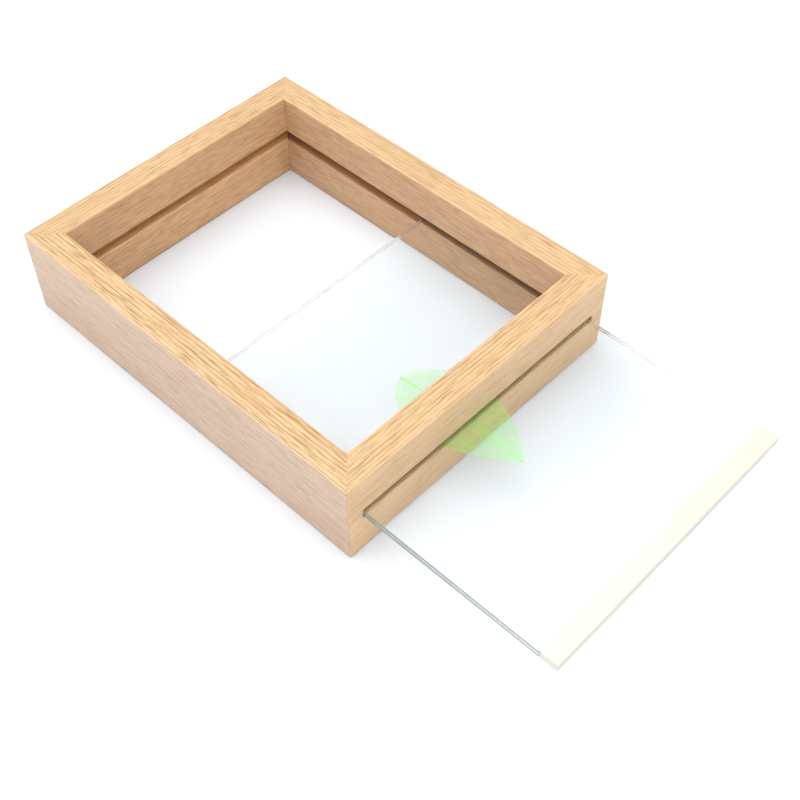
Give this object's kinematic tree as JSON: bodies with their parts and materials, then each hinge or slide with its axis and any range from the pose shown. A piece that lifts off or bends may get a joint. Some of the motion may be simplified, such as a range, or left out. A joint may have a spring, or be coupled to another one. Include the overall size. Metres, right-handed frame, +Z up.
{
  "type": "pressed flower frame",
  "caption": "Deep mitred wooden frame with glass panes that slide out through a slot in a short rail, and a green skeleton leaf pressed between them.",
  "frame": {"origin": "centre of the whole object's box in plan, at the underside of the wooden frame, with the panes drawn out as in the picture", "axes": "+X out through the slot, the way the panes slide; +Y across the frame; +Z up, with the frame lying flat"},
  "size_m": [0.3216, 0.17, 0.048],
  "materials": {
    "oak": "bare, sanded, with a straight grain",
    "glass": "clear and polished",
    "leaf": "dyed green skeleton, thin and papery",
    "pale_wood": "pale and smooth"
  },
  "bodies": {
    "frame": {"rail_front": "oak", "rail_back": "oak", "rail_closed_end": "oak", "rail_slotted_end": "oak"},
    "glass": {"pane_lower": "glass", "pane_upper": "glass", "leaf": "leaf", "end_strip": "pale_wood"}
  },
  "joints": [
    {"name": "glass_slide", "type": "slide", "parent": "frame", "child": "glass", "axis": [1, 0, 0], "range_m": [-0.1036, 0.08]}
  ]
}
